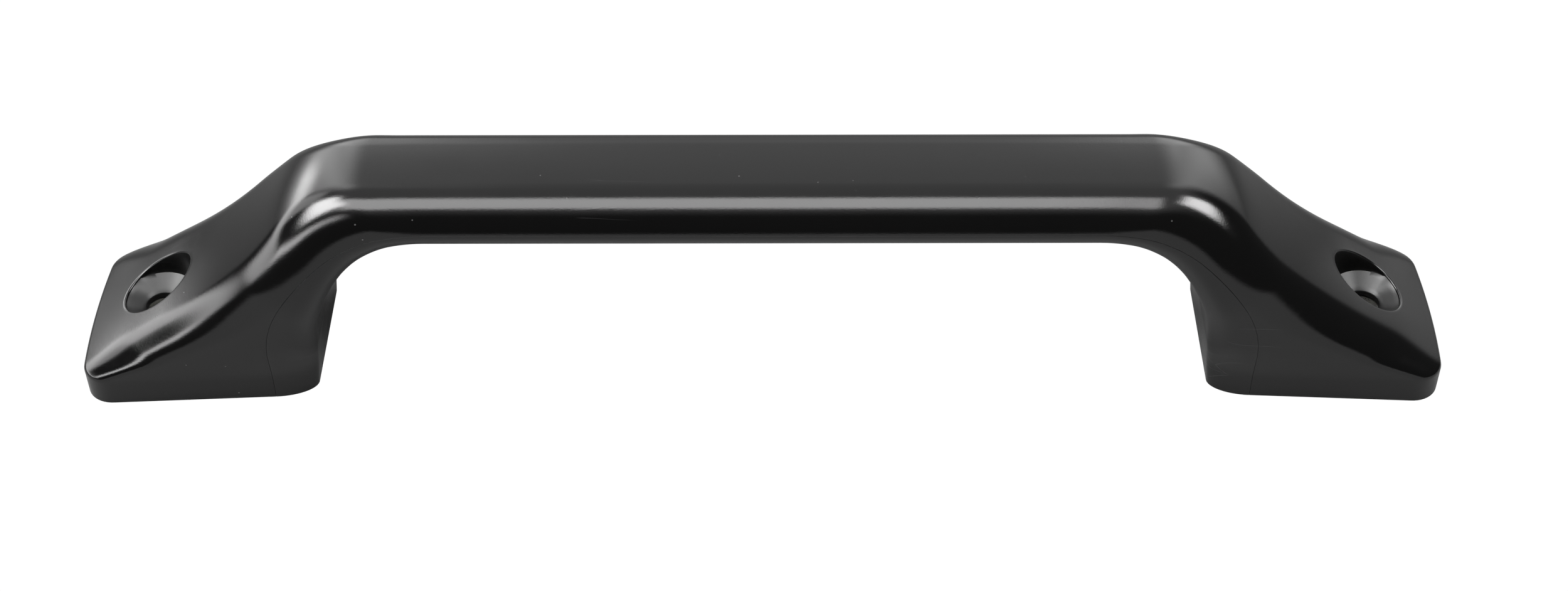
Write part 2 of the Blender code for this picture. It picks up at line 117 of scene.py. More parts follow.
# Inside
BOSS_RADIUS = 8.1
BOSS_BOTTOM_Z = 6.4
PILLAR_X = 87.5
PILLAR_RADIUS = 3.2
PILLAR_BOTTOM_Z = 8.7
PILOT_RADIUS = 1.65
PILOT_TOP_Z = 17.0
SCREW_HOLE_RADIUS = 1.75
STRAP_GRIP_Z = 33.3
STRAP_ROOM = 1.25                # half the strap's thickness and its clearance
RIB_X = (0.0, 22.0, 44.0)        # and their mirror images
RIB_THICKNESS = 1.6
RIB_HALF_WIDTH = 9.5
TAB_Z = (6.4, 8.4)
TAB_X = (74.6, 91.4)
TAB_HALF_WIDTH = (9.7, 12.5)
TAB_SEAM_GAP = 0.15              # between a tab's wide part and the parting line
TAB_SLOT_X = (76.9, 82.2)
TAB_SLOT_HALF_WIDTH = 6.6
CLEAR_Z = (-1.0, 45.0)           # below and above the whole handle

# Fineness of the meshes
HALF_RINGS = 130                 # cross-sections from one end to the middle
CAVITY_HALF_RINGS = 26
FRONT_POINTS = 52                # on half a cross-section
BACK_POINTS = 30
CAVITY_POINTS = 14
TURN_WEIGHT = 2.6                # mm of length that a turn of one radian counts for, when points are spread
LIP_STEPS = 4
SHARP_ANGLE = math.radians(38)


def smooth_step(value):
    value = min(max(value, 0.0), 1.0)
    return value * value * (3.0 - 2.0 * value)


def blend(a, b, share):
    return a + (b - a) * share


# ---------------------------------------------------------------- side view

def arc(centre, radius, start, end, steps):
    """Points on an arc, with angles in radians."""
    angles = np.linspace(start, end, steps + 1)
    return [(centre[0] + radius * math.cos(a), centre[1] + radius * math.sin(a)) for a in angles]


def outer_profile(inset):
    """Mounting face -> end face -> slope -> shoulder -> middle of the grip, for +X."""
    quarter = math.pi / 2
    shoulder = SHOULDER_RADIUS - inset
    slope = SLOPE_RADIUS + inset
    convex = arc((SHOULDER_X, TOP_Z - SHOULDER_RADIUS), shoulder, quarter, quarter - SHOULDER_ANGLE, 80)
    run_x = convex[-1][0] + SHOULDER_RUN * math.cos(SHOULDER_ANGLE)
    run_z = convex[-1][1] - SHOULDER_RUN * math.sin(SHOULDER_ANGLE)
    centre = (run_x + slope * math.sin(SHOULDER_ANGLE), run_z + slope * math.cos(SHOULDER_ANGLE))
    concave = arc(centre, slope, -quarter - SHOULDER_ANGLE, -quarter - SLOPE_ANGLE, 80)
    end_round = max(END_RADIUS - inset, LEAST_END_RADIUS)
    round_x = END_X - inset - end_round
    tangent_x = round_x + end_round * math.sin(SLOPE_ANGLE)
    tangent_z = concave[-1][1] - (tangent_x - concave[-1][0]) * math.tan(SLOPE_ANGLE)
    centre = (round_x, tangent_z - end_round * math.cos(SLOPE_ANGLE))
    corner = arc(centre, end_round, quarter - SLOPE_ANGLE, 0.0, 10)
    down = [(END_X - inset, 0.0)]
    return list(reversed([(0.0, TOP_Z - inset)] + convex + concave + corner + down))


def inner_profile(inset):
    """Mounting face -> inner face -> finger-side bend -> middle of the grip underside, for +X."""
    bend = arc(BEND_CENTRE, BEND_RADIUS + inset, 0.0, math.pi / 2, 96)
    return [(INNER_X + inset, 0.0)] + bend + [(0.0, UNDER_Z + inset)]


def lengths_along(points):
    """Length along a line from its start to each point."""
    steps = np.linalg.norm(np.diff(np.array(points), axis=0), axis=1)
    return np.concatenate([[0.0], np.cumsum(steps)])


def point_at(points, lengths, length):
    across, up = np.array(points).T
    return (float(np.interp(length, lengths, across)), float(np.interp(length, lengths, up)))


def monotone_value(knots, values, x):
    """Smooth value between knots, never overshooting (Fritsch-Carlson cubic)."""
    slopes = [(b - a) / (q - p) for p, q, a, b in zip(knots, knots[1:], values, values[1:])]
    tangents = [slopes[0]]
    for s, t in zip(slopes, slopes[1:]):
        tangents.append(0.0 if s * t <= 0 else 2 * s * t / (s + t))
    tangents.append(slopes[-1])
    i = max(j for j in range(len(knots) - 1) if knots[j] <= x or j == 0)
    width = knots[i + 1] - knots[i]
    t = (x - knots[i]) / width
    return ((1 + 2 * t) * (1 - t) ** 2 * values[i] + t * (1 - t) ** 2 * width * tangents[i]
            + t * t * (3 - 2 * t) * values[i + 1] + t * t * (t - 1) * width * tangents[i + 1])


def stations(inset, half_rings):
    """The two ends of each cross-section, outer and inner, from the foot to the middle of the grip."""
    outer, inner = outer_profile(inset), inner_profile(inset)
    outer_len, inner_len = lengths_along(outer), lengths_along(inner)

    def slope_length(x):
        i = next(j for j in range(2, len(outer)) if outer[j][0] <= x)
        share = (outer[i - 1][0] - x) / (outer[i - 1][0] - outer[i][0])
        return blend(outer_len[i - 1], outer_len[i], share)

    face = inner_len[1]
    bend = inner_len[-2] - face
    share_knots = [0.0, 0.06, 0.16, 0.30, 0.42, 0.54, 0.66, 0.86, 0.93, 1.0]
    outer_knots = [0.0, outer_len[1] * 0.8, slope_length(END_X - inset - 1.0), slope_length(HOLE_X),
                   slope_length(90.0), slope_length(82.0), slope_length(72.0),
                   slope_length(SHOULDER_X + 0.2), outer_len[-1] - BEND_CENTRE[0] - 1.0, outer_len[-1]]
    inner_knots = [0.0, face * 0.25, face * 0.5, face * 0.8, face, face + bend * 0.25,
                   face + bend * 0.5, face + bend * 0.86, face + bend, inner_len[-1]]
    pairs = []
    for k in range(half_rings + 1):
        share = k / half_rings
        outer_at = monotone_value(share_knots, outer_knots, share)
        inner_at = monotone_value(share_knots, inner_knots, share)
        pairs.append((share, point_at(outer, outer_len, outer_at), point_at(inner, inner_len, inner_at)))
    return pairs


# ------------------------------------------------------------ cross-sections

def on_finger_side(x, z):
    """True inside the parting line, a quarter ellipse between the foot's straight stretch and the grip's."""
    half_x = SEAM_X - BEND_CENTRE[0]
    half_z = SEAM_Z - BEND_CENTRE[1]
    if z <= BEND_CENTRE[1]:
        return x < SEAM_X
    if x <= BEND_CENTRE[0]:
        return z < SEAM_Z
    return ((x - BEND_CENTRE[0]) / half_x) ** 2 + ((z - BEND_CENTRE[1]) / half_z) ** 2 < 1.0


def parting_depth(outer, inner):
    """How far from the inner point a cross-section leaves the finger side."""
    low, high = 0.0, 1.0
    for _ in range(30):
        middle = (low + high) / 2
        if on_finger_side(*[blend(a, b, middle) for a, b in zip(inner, outer)]):
            low = middle
        else:
            high = middle
    return low * math.dist(outer, inner)


def section(half_width, depth, edge, crown, under, seam):
    """Fine half outline (y, v) from the outer middle to the inner middle, and its outer edge's last angle.

    The edge's round runs until it is upright or reaches the parting line, at height seam.
    """
    edge = min(edge, half_width * 0.9)
    lean = 0.0
    for _ in range(4):
        cosine = math.cos(lean) - (depth - crown - seam) / edge
        turn = math.acos(min(max(cosine, 0.0), 0.999))
        flat = half_width - edge * (math.sin(turn) - math.sin(lean))
        lean = math.atan(2.0 * crown / flat)
    y = np.linspace(0.0, flat, 25)[:-1]
    top = np.column_stack([y, depth - crown * (y / flat) ** 2])
    t = np.linspace(lean, turn, 60)
    rounded = np.column_stack([flat + edge * (np.sin(t) - math.sin(lean)),
                               depth - crown - edge * (math.cos(lean) - np.cos(t))])
    side_top = rounded[-1, 1]
    round_y = min(under[0], half_width * 0.9)
    round_v = min(under[1], side_top * 0.98)
    t = np.linspace(0.0, math.pi / 2, 48)
    lower = np.column_stack([half_width - round_y * (1.0 - np.cos(t)), round_v * (1.0 - np.sin(t))])
    middle = np.column_stack([np.linspace(half_width - round_y, 0.0, 12)[1:], np.zeros(11)])
    return np.vstack([top, rounded, lower, middle]), turn


def resample(points, count):
    """Points along a line, closer together where it turns."""
    step = np.diff(points, axis=0)
    length = np.linalg.norm(step, axis=1)
    heading = np.unwrap(np.arctan2(step[:, 1], step[:, 0]))
    cost = length + TURN_WEIGHT * np.abs(np.gradient(heading))
    total = np.concatenate([[0.0], np.cumsum(cost)])
    at = np.linspace(0.0, total[-1], count)
    return np.column_stack([np.interp(at, total, points[:, 0]), np.interp(at, total, points[:, 1])])


def cut_point(points, v):
    """The half outline's y where it passes v."""
    return float(np.interp(-v, -points[:, 1], points[:, 0]))


def front_half(points, turn, seam):
    """The part of a half outline outside the parting line, with a rounded lip and the cut face."""
    tilt = math.pi / 2 - turn
    v = seam + SEAM_HALF_GAP + LIP_RADIUS * (1.0 + math.sin(tilt))
    y = cut_point(points, v)
    kept = np.vstack([points[points[:, 1] > v + 1e-4], [[y, v]]])
    kept = resample(kept, FRONT_POINTS)
    centre = (y - LIP_RADIUS * math.cos(tilt), v - LIP_RADIUS * math.sin(tilt))
    t = np.linspace(tilt, -math.pi / 2, LIP_STEPS + 1)[1:]
    lip = np.column_stack([centre[0] + LIP_RADIUS * np.cos(t), centre[1] + LIP_RADIUS * np.sin(t)])
    cut = np.column_stack([lip[-1, 0] * np.array([0.8, 0.4, 0.0]), np.full(3, lip[-1, 1])])
    return np.vstack([kept, lip, cut])


def back_half(points, _turn, seam):
    """The part of a half outline on the finger side, from the cut face to the inner middle."""
    v = seam - SEAM_HALF_GAP - LIP_RADIUS
    y = cut_point(points, v)
    kept = resample(np.vstack([[[y, v]], points[points[:, 1] < v - 1e-4]]), BACK_POINTS)
    kept[-1] = (0.0, 0.0)
    t = np.linspace(math.pi / 2, 0.0, LIP_STEPS + 1)[:-1]
    lip = np.column_stack([y - LIP_RADIUS + LIP_RADIUS * np.cos(t), v + LIP_RADIUS * np.sin(t)])
    cut = np.column_stack([lip[0, 0] * np.array([0.0, 0.4, 0.8]), np.full(3, lip[0, 1])])
    return np.vstack([cut, lip, kept])


def whole_half(points, _turn, _seam):
    """The whole of a half outline, for the hollow, which the parting line doesn't cut."""
    kept = resample(points, CAVITY_POINTS)
    kept[-1] = (0.0, 0.0)
    return kept


def ring(share, outer, inner, inset, part):
    """Closed cross-section of one part of the body, as vectors in mm."""
    depth = math.dist(outer, inner)
    direction = ((outer[0] - inner[0]) / depth, (outer[1] - inner[1]) / depth)
    foot = smooth_step((outer[0] - FLARE_X[0]) / (FLARE_X[1] - FLARE_X[0]))
    end = smooth_step((outer[0] + inset - END_X + END_BLEND) / END_BLEND)
    corner = smooth_step((CORNER_SHARES[1] - share) / (CORNER_SHARES[1] - CORNER_SHARES[0]))
    half_width = blend(GRIP_HALF_WIDTH, FOOT_HALF_WIDTH, foot) - inset
    edge = blend(GRIP_EDGE, FOOT_EDGE, foot) + FLARE_EDGE * 4.0 * foot * (1.0 - foot)
    edge = blend(edge, END_EDGE, end) - inset
    crown = blend(GRIP_CROWN, FOOT_CROWN, foot)
    under = [max(blend(a, b, corner) - inset, LEAST_ROUND)
             for a, b in zip(GRIP_UNDER_ROUND, FOOT_CORNER_ROUND)]
    seam = parting_depth(outer, inner)
    points, turn = section(half_width, depth, max(edge, LEAST_ROUND), crown, under, seam)
    half = part(points, turn, seam)
    narrowing = 1.0 - FOOT_TAPER * foot * (1.0 - half[:, 1] / depth) * depth / half_width
    half = np.column_stack([half[:, 0] * narrowing, half[:, 1]])
    outline = np.vstack([half, (half[1:-1] * (-1.0, 1.0))[::-1]])
    return [Vector((inner[0] + direction[0] * v, y, inner[1] + direction[1] * v)) for y, v in outline]


def body_mesh(part, half_rings, inset=0.0, below=0.0):
    """Loft of one part of the body over both feet and the grip, reaching a distance below the feet."""
    half = [ring(share, outer, inner, inset, part) for share, outer, inner in stations(inset, half_rings)]
    if below:
        half.insert(0, [p - Vector((0.0, 0.0, below)) for p in half[0]])
    mirrored = [[Vector((-p.x, p.y, p.z)) for p in loop] for loop in half]
    loops = half + list(reversed(mirrored[:-1]))
    bm = bmesh.new()
    rings = [[bm.verts.new(p) for p in loop] for loop in loops]
    count = len(rings[0])
    for a, b in zip(rings, rings[1:]):
        for i in range(count):
            j = (i + 1) % count
            bm.faces.new((a[i], a[j], b[j], b[i]))
    bm.faces.new(rings[0])
    bm.faces.new(rings[-1])
    bmesh.ops.recalc_face_normals(bm, faces=bm.faces)
    return bm


# ------------------------------------------------------------------- bores

def bore_profile(height):
    """(radius, z) points from the skin down one side of a bore; height(r) is the skin's height there."""
    near, far = (BORE_RADIUS + distance for distance in SKIN_SLOPE_AT)
    slope = (height(far) - height(near)) / (far - near)
    centre_r = BORE_RADIUS + RIM_ROUND
    centre_z = height(centre_r) - RIM_ROUND * math.hypot(1.0, slope)
    normal = math.atan2(1.0, -slope)
    rim = [(centre_r + RIM_ROUND * math.cos(a), centre_z + RIM_ROUND * math.sin(a))
           for a in np.linspace(normal, math.pi, 7)]
    seat = min(SEAT_TOP_Z, centre_z - LEAST_WALL)
    ease = SEAT_ROUND * 0.2
    fall = math.atan2(SEAT_TOP_Z - SEAT_BOTTOM_Z, BORE_RADIUS - THROUGH_RADIUS)
    wall = [(BORE_RADIUS, blend(centre_z, seat + ease, s)) for s in (0.35, 0.8)]
    cone_top = (BORE_RADIUS - SEAT_ROUND * math.cos(fall), seat - SEAT_ROUND * math.sin(fall))
    throat = (THROUGH_RADIUS + SEAT_ROUND * math.cos(fall), SEAT_BOTTOM_Z + SEAT_ROUND * math.sin(fall))
    cone = [cone_top] + [(blend(cone_top[0], throat[0], s), blend(cone_top[1], throat[1], s))
                         for s in (0.25, 0.5, 0.75, 1.0)]
    neck = [(THROUGH_RADIUS + ease, SEAT_BOTTOM_Z - ease),
            (THROUGH_RADIUS, SEAT_BOTTOM_Z - SEAT_ROUND),
            (THROUGH_RADIUS, POCKET_FLOOR_Z)]
    return rim + wall + cone + neck


def cut_bore(bm, tree, x):
    """Rebuilds the skin round a bore as rings about its axis, and adds the bore as a blind pocket."""
    near = [f for f in bm.faces
            if f.calc_center_median().z > PATCH_LOWEST_Z
            and abs(f.normal.z) > PATCH_UPRIGHT
            and any(math.hypot(v.co.x - x, v.co.y) < PATCH_RADIUS for v in f.verts)]
    bmesh.ops.delete(bm, geom=near, context="FACES_ONLY")
    loose_edges = [e for e in bm.edges if not e.link_faces]
    bmesh.ops.delete(bm, geom=loose_edges, context="EDGES")
    loose_verts = [v for v in bm.verts if not v.link_faces]
    bmesh.ops.delete(bm, geom=loose_verts, context="VERTS")
    rim_edges = [e for e in bm.edges if len(e.link_faces) == 1]
    border = sorted({v for e in rim_edges for v in e.verts}, key=lambda v: v.index)

    def skin(px, py):
        hit = tree.ray_cast(Vector((px, py, CLEAR_Z[1])), Vector((0.0, 0.0, -1.0)))[0]
        return hit.z

    angles = [2.0 * math.pi * i / BORE_STEPS for i in range(BORE_STEPS)]
    columns = []
    for a in angles:
        c, s = math.cos(a), math.sin(a)
        outside = [(r, skin(x + r * c, r * s)) for r in PATCH_RINGS]
        line = outside + bore_profile(lambda r: skin(x + r * c, r * s))
        columns.append([bm.verts.new((x + r * c, r * s, z)) for r, z in line])
    for k in range(len(columns[0]) - 1):
        for i in range(BORE_STEPS):
            a, b = columns[i], columns[(i + 1) % BORE_STEPS]
            bm.faces.new((a[k], b[k], b[k + 1], a[k + 1]))
    bm.faces.new([column[-1] for column in columns])

    circle = [column[0] for column in columns]
    verts = border + circle
    place = {v: i for i, v in enumerate(verts)}
    constraints = [(place[e.verts[0]], place[e.verts[1]]) for e in rim_edges]
    first = len(border)
    constraints += [(first + i, first + (i + 1) % BORE_STEPS) for i in range(BORE_STEPS)]
    flat = [Vector((v.co.x, v.co.y)) for v in verts]
    _, _, triangles, sources, _, _ = delaunay_2d_cdt(flat, constraints, [], 1, 1e-6)
    for triangle in triangles:
        origin = [sources[i][0] for i in triangle]
        inside_circle = all(i >= first for i in origin)
        if not inside_circle:
            bm.faces.new([verts[i] for i in origin])


# ------------------------------------------------------------ building blocks

def to_object(bm, name):
    """Finished mesh object from a bmesh in mm."""
    bmesh.ops.triangulate(bm, faces=bm.faces)
    bmesh.ops.recalc_face_normals(bm, faces=bm.faces)
    bmesh.ops.scale(bm, vec=(MM, MM, MM), verts=bm.verts)
    mesh = bpy.data.meshes.new(name)
    bm.to_mesh(mesh)
    bm.free()
    obj = bpy.data.objects.new(name, mesh)
    bpy.context.scene.collection.objects.link(obj)
    return obj


def rod(name, radius, bottom, top, x, steps=32):
    """Upright round bar at y = 0."""
    bm = bmesh.new()
    angles = [2.0 * math.pi * i / steps for i in range(steps)]
    low = [bm.verts.new((x + radius * math.cos(a), radius * math.sin(a), bottom)) for a in angles]
    high = [bm.verts.new((v.co.x, v.co.y, top)) for v in low]
    for i in range(steps):
        j = (i + 1) % steps
        bm.faces.new((low[i], low[j], high[j], high[i]))
    bm.faces.new(low)
    bm.faces.new(high)
    return to_object(bm, name)


def prism(name, outline, low, high):
    """Upright prism on an outline in the XY plane."""
    bm = bmesh.new()
    bottom = [bm.verts.new((u, v, low)) for u, v in outline]
    top = [bm.verts.new((u, v, high)) for u, v in outline]
    for i in range(len(outline)):
        j = (i + 1) % len(outline)
        bm.faces.new((bottom[i], bottom[j], top[j], top[i]))
    bm.faces.new(bottom)
    bm.faces.new(top)
    return to_object(bm, name)


def box(name, x, y, z):
    return prism(name, [(x[0], y[0]), (x[1], y[0]), (x[1], y[1]), (x[0], y[1])], *z)


def boolean(target, cutter, operation="DIFFERENCE"):
    """Adds a Boolean modifier. Both meshes are closed, which this solver needs."""
    modifier = target.modifiers.new(cutter.name, "BOOLEAN")
    modifier.operation = operation
    modifier.object = cutter
    modifier.solver = "MANIFOLD"


def apply_modifiers(obj, guides):
    """Turns the modifiers' result into the object's own mesh and removes the guides."""
    bpy.context.view_layer.update()
    graph = bpy.context.evaluated_depsgraph_get()
    mesh = bpy.data.meshes.new_from_object(obj.evaluated_get(graph))
    obj.modifiers.clear()
    obj.data = mesh
    for guide in guides:
        bpy.data.objects.remove(guide, do_unlink=True)


def shade(obj):
    """Smooth shading, with edges sharper than the limit kept crisp."""
    obj.data.shade_smooth()
    obj.data.set_sharp_from_angle(angle=SHARP_ANGLE)


# ------------------------------------------------------------------- shells

def make_cavity():
    """The hollow inside both shells, with bosses, pillars and strap ribs left standing."""
    cavity = to_object(body_mesh(whole_half, CAVITY_HALF_RINGS, inset=WALL, below=1.0), "cavity_guide")
    guides = []
    for side in (-1, 1):
        guides.append(rod("boss_guide", BOSS_RADIUS, BOSS_BOTTOM_Z, CLEAR_Z[1], side * HOLE_X, steps=64))
        guides.append(rod("pillar_guide", PILLAR_RADIUS, PILLAR_BOTTOM_Z, CLEAR_Z[1], side * PILLAR_X))
    for x in sorted({side * x for side in (-1, 1) for x in RIB_X}):
        span = (x - RIB_THICKNESS / 2, x + RIB_THICKNESS / 2)
        across = (-RIB_HALF_WIDTH, RIB_HALF_WIDTH)
        guides.append(box("top_rib_guide", span, across, (STRAP_GRIP_Z + STRAP_ROOM, TOP_Z)))
        guides.append(box("low_rib_guide", span, across, (UNDER_Z, STRAP_GRIP_Z - STRAP_ROOM)))
    for guide in guides:
        boolean(cavity, guide)
    apply_modifiers(cavity, guides)
    return cavity


def make_front_shell(cavity):
    """Outer moulding: grip's outer face, slopes and feet, with the bores and the screws' pilot holes."""
    bm = body_mesh(front_half, HALF_RINGS)
    bm.verts.index_update()
    tree = BVHTree.FromBMesh(bm)
    for side in (-1, 1):
        cut_bore(bm, tree, side * HOLE_X)
        bm.verts.index_update()
    shell = to_object(bm, "front_cover")
    boolean(shell, cavity)
    guides = [rod("pilot_guide", PILOT_RADIUS, CLEAR_Z[0], PILOT_TOP_Z, side * PILLAR_X)
              for side in (-1, 1)]
    for guide in guides:
        boolean(shell, guide)
    apply_modifiers(shell, guides)
    shade(shell)
    return shell


def make_tab(side):
    """Flange of the back shell under the pillar, with a slot for the strap and a screw hole."""
    narrow, wide = TAB_HALF_WIDTH
    seam = SEAM_X - TAB_SEAM_GAP
    outline = [(TAB_X[0], -wide), (seam, -wide), (seam, -narrow), (TAB_X[1], -narrow),
               (TAB_X[1], narrow), (seam, narrow), (seam, wide), (TAB_X[0], wide)]
    tab = prism("tab_guide", [(side * x, y) for x, y in outline], *TAB_Z)
    slot_y = (-TAB_SLOT_HALF_WIDTH, TAB_SLOT_HALF_WIDTH)
    slot = box("slot_guide", sorted(side * x for x in TAB_SLOT_X), slot_y, CLEAR_Z)
    hole = rod("tab_hole_guide", SCREW_HOLE_RADIUS, *CLEAR_Z, side * PILLAR_X)
    boolean(tab, slot)
    boolean(tab, hole)
    apply_modifiers(tab, [slot, hole])
    return tab


def make_back_shell(cavity):
    """Finger-side moulding, with a tab for a screw in each foot."""
    shell = to_object(body_mesh(back_half, HALF_RINGS), "back_cover")
    boolean(shell, cavity)
    tabs = [make_tab(side) for side in (-1, 1)]
    for tab in tabs:
        boolean(shell, tab, "UNION")
    apply_modifiers(shell, tabs)
    shade(shell)
    return shell


# ---------------------------------------------------------------- materials

class Nodes:
    """Small helper that adds and links shader nodes."""

    def __init__(self, name):
        self.material = bpy.data.materials.new(name)
        self.material.use_nodes = True
        self.tree = self.material.node_tree
        self.shader = self.tree.nodes["Principled BSDF"]
        self.place = self.add("ShaderNodeTexCoord").outputs["Object"]

    def add(self, kind, **settings):
        node = self.tree.nodes.new(kind)
        for key, value in settings.items():
            setattr(node, key, value)
        return node

    def link(self, a, b):
        self.tree.links.new(a, b)

    def moved(self, scale, turn=(0.0, 0.0, 0.0)):
        """The object's own coordinates, in metres, scaled and turned."""
        node = self.add("ShaderNodeMapping")
        node.inputs["Scale"].default_value = scale
        node.inputs["Rotation"].default_value = turn
        self.link(self.place, node.inputs["Vector"])
        return node.outputs["Vector"]

    def noise(self, vector, scale, detail=2.0, rough=0.5):
        node = self.add("ShaderNodeTexNoise")
        node.inputs["Scale"].default_value = scale
        node.inputs["Detail"].default_value = detail
        node.inputs["Roughness"].default_value = rough
        self.link(vector, node.inputs["Vector"])
        return node.outputs["Fac"]

    def spots(self, vector, scale, feature="F1"):
        """Distance from the nearest scattered point, or from the nearest edge between their cells."""
        node = self.add("ShaderNodeTexVoronoi", feature=feature)
        node.inputs["Scale"].default_value = scale
        self.link(vector, node.inputs["Vector"])
        return node.outputs["Distance"]

    def ramp(self, value, low, high, out_low=0.0, out_high=1.0):
        """Smooth change from out_low to out_high as the value goes from low to high."""
        node = self.add("ShaderNodeMapRange", interpolation_type="SMOOTHSTEP")
        node.inputs["From Min"].default_value = low
        node.inputs["From Max"].default_value = high
        node.inputs["To Min"].default_value = out_low
        node.inputs["To Max"].default_value = out_high
        self.link(value, node.inputs["Value"])
        return node.outputs["Result"]

    def math(self, operation, a, b=0.0):
        node = self.add("ShaderNodeMath", operation=operation)
        for socket, value in zip(node.inputs, (a, b)):
            if isinstance(value, (int, float)):
                socket.default_value = value
            else:
                self.link(value, socket)
        return node.outputs["Value"]

    def bore_distance(self):
        """Distance of a point from the axis of the nearer screw bore."""
        node = self.add("ShaderNodeSeparateXYZ")
        self.link(self.place, node.inputs["Vector"])
        along = self.math("SUBTRACT", self.math("ABSOLUTE", node.outputs["X"]), HOLE_X * MM)
        across = node.outputs["Y"]
        squares = self.math("ADD", self.math("MULTIPLY", along, along),
                            self.math("MULTIPLY", across, across))
        return self.math("SQRT", squares)

    def mix(self, factor, a, b):
        """Colour between a and b. The Mix node's colour sockets are inputs 6 and 7 and output 2."""
        node = self.add("ShaderNodeMix", data_type="RGBA")
        self.link(factor, node.inputs["Factor"])
        for socket, value in ((node.inputs[6], a), (node.inputs[7], b)):
            if isinstance(value, tuple):
                socket.default_value = (*value, 1.0)
            else:
                self.link(value, socket)
        return node.outputs[2]

    def bump(self, height, distance, strength=1.0, below=None):
        node = self.add("ShaderNodeBump")
        node.inputs["Strength"].default_value = strength
        node.inputs["Distance"].default_value = distance
        self.link(height, node.inputs["Height"])
        if below is not None:
            self.link(below, node.inputs["Normal"])
        return node.outputs["Normal"]


BORE_EDGE = (BORE_RADIUS * 0.98 * MM, BORE_RADIUS * 1.03 * MM)
BORE_MATTE = 0.3                 # added roughness inside a bore
MARK_MATTE = 0.35                # added roughness on dust and scratches


def black_plastic(name, colour, dust_colour, roughness):
    """Gloss black moulding: fine grain, slow waviness, flow marks, dust, hair scratches, duller bores."""
    n = Nodes(name)
    grain = n.noise(n.place, scale=4200.0, detail=3.0, rough=0.7)
    cloud = n.noise(n.place, scale=140.0, detail=3.0, rough=0.55)
    flow = n.noise(n.moved((9.0, 60.0, 60.0)), scale=1.0, detail=3.0, rough=0.6)
    wave = n.noise(n.moved((55.0, 90.0, 90.0)), scale=1.0, detail=1.0, rough=0.4)

    specks = n.ramp(n.spots(n.place, 330.0), 0.035, 0.055, 1.0, 0.0)
    sparse = n.ramp(n.noise(n.place, scale=55.0, detail=1.0), 0.52, 0.62)
    dust = n.math("MULTIPLY", specks, sparse)
    cells = n.moved((18.0, 260.0, 260.0), turn=(0.0, 0.0, 0.5))
    hairs = n.ramp(n.spots(cells, 1.0, "DISTANCE_TO_EDGE"), 0.0, 0.012, 1.0, 0.0)
    handled = n.ramp(n.noise(n.place, scale=38.0, detail=2.0), 0.60, 0.72)
    scratch = n.math("MULTIPLY", hairs, handled)
    marks = n.math("MAXIMUM", dust, n.math("MULTIPLY", scratch, 0.5))
    n.link(n.mix(marks, colour, dust_colour), n.shader.inputs["Base Color"])

    uneven = n.math("ADD", n.math("MULTIPLY", cloud, 0.6), n.math("MULTIPLY", flow, 0.4))
    rough = n.ramp(uneven, 0.3, 0.7, roughness * 0.75, roughness * 1.35)
    rough = n.math("ADD", rough, n.math("MULTIPLY", marks, MARK_MATTE))
    in_bore = n.ramp(n.bore_distance(), *BORE_EDGE, 1.0, 0.0)
    rough = n.math("ADD", rough, n.math("MULTIPLY", in_bore, BORE_MATTE))
    n.link(rough, n.shader.inputs["Roughness"])
    n.shader.inputs["IOR"].default_value = 1.5

    bump = n.bump(wave, distance=0.00006, strength=0.5)
    bump = n.bump(flow, distance=0.00004, strength=0.4, below=bump)
    bump = n.bump(grain, distance=0.00001, strength=1.0, below=bump)
    bump = n.bump(scratch, distance=0.00001, strength=0.6, below=bump)
    n.link(bump, n.shader.inputs["Normal"])
    return n.material


def brushed_steel(name, colour, roughness, streak):
    """Plated steel: streaks along one axis, a cloudy plating and fine pits."""
    n = Nodes(name)
    lines = n.noise(n.moved(streak), scale=1.0, detail=4.0, rough=0.7)
    cloud = n.noise(n.place, scale=220.0, detail=3.0)
    pits = n.ramp(n.spots(n.place, 900.0), 0.08, 0.16, 1.0, 0.0)
    dark = tuple(c * 0.62 for c in colour)
    tint = n.mix(n.ramp(cloud, 0.35, 0.7), colour, dark)
    n.link(n.mix(n.math("MULTIPLY", pits, 0.5), tint, dark), n.shader.inputs["Base Color"])
    n.link(n.ramp(lines, 0.3, 0.7, roughness * 0.7, roughness * 1.4), n.shader.inputs["Roughness"])
    n.shader.inputs["Metallic"].default_value = 1.0
    bump = n.bump(lines, distance=0.00001, strength=0.5)
    bump = n.bump(pits, distance=-0.00001, strength=0.5, below=bump)
    n.link(bump, n.shader.inputs["Normal"])
    return n.material


def black_rubber():
    """Dense moulded rubber: pebbled and slightly dusty."""
    n = Nodes("pad_rubber_look")
    pebble = n.noise(n.place, scale=2600.0, detail=4.0, rough=0.6)
    cloud = n.noise(n.place, scale=120.0, detail=3.0)
    tint = n.mix(n.ramp(cloud, 0.4, 0.7), (0.018, 0.018, 0.018), (0.035, 0.034, 0.033))
    n.link(tint, n.shader.inputs["Base Color"])
    n.link(n.ramp(pebble, 0.3, 0.7, 0.7, 0.92), n.shader.inputs["Roughness"])
    n.link(n.bump(pebble, distance=0.00004, strength=0.6), n.shader.inputs["Normal"])
    return n.material


def finish(obj, material):
    """Gives an object its one material."""
    obj.data.materials.clear()
    obj.data.materials.append(material)


# -------------------------------------------------------------------- stage

CAMERA_TARGET = Vector((3.52, -3.62, 12.53)) * MM
CAMERA_DISTANCE = 410.5 * MM
CAMERA_ELEVATION = math.radians(43.54)
CAMERA_ROLL = math.radians(-0.087)
CAMERA_LENS = 57.34              # on a sensor 36 mm wide


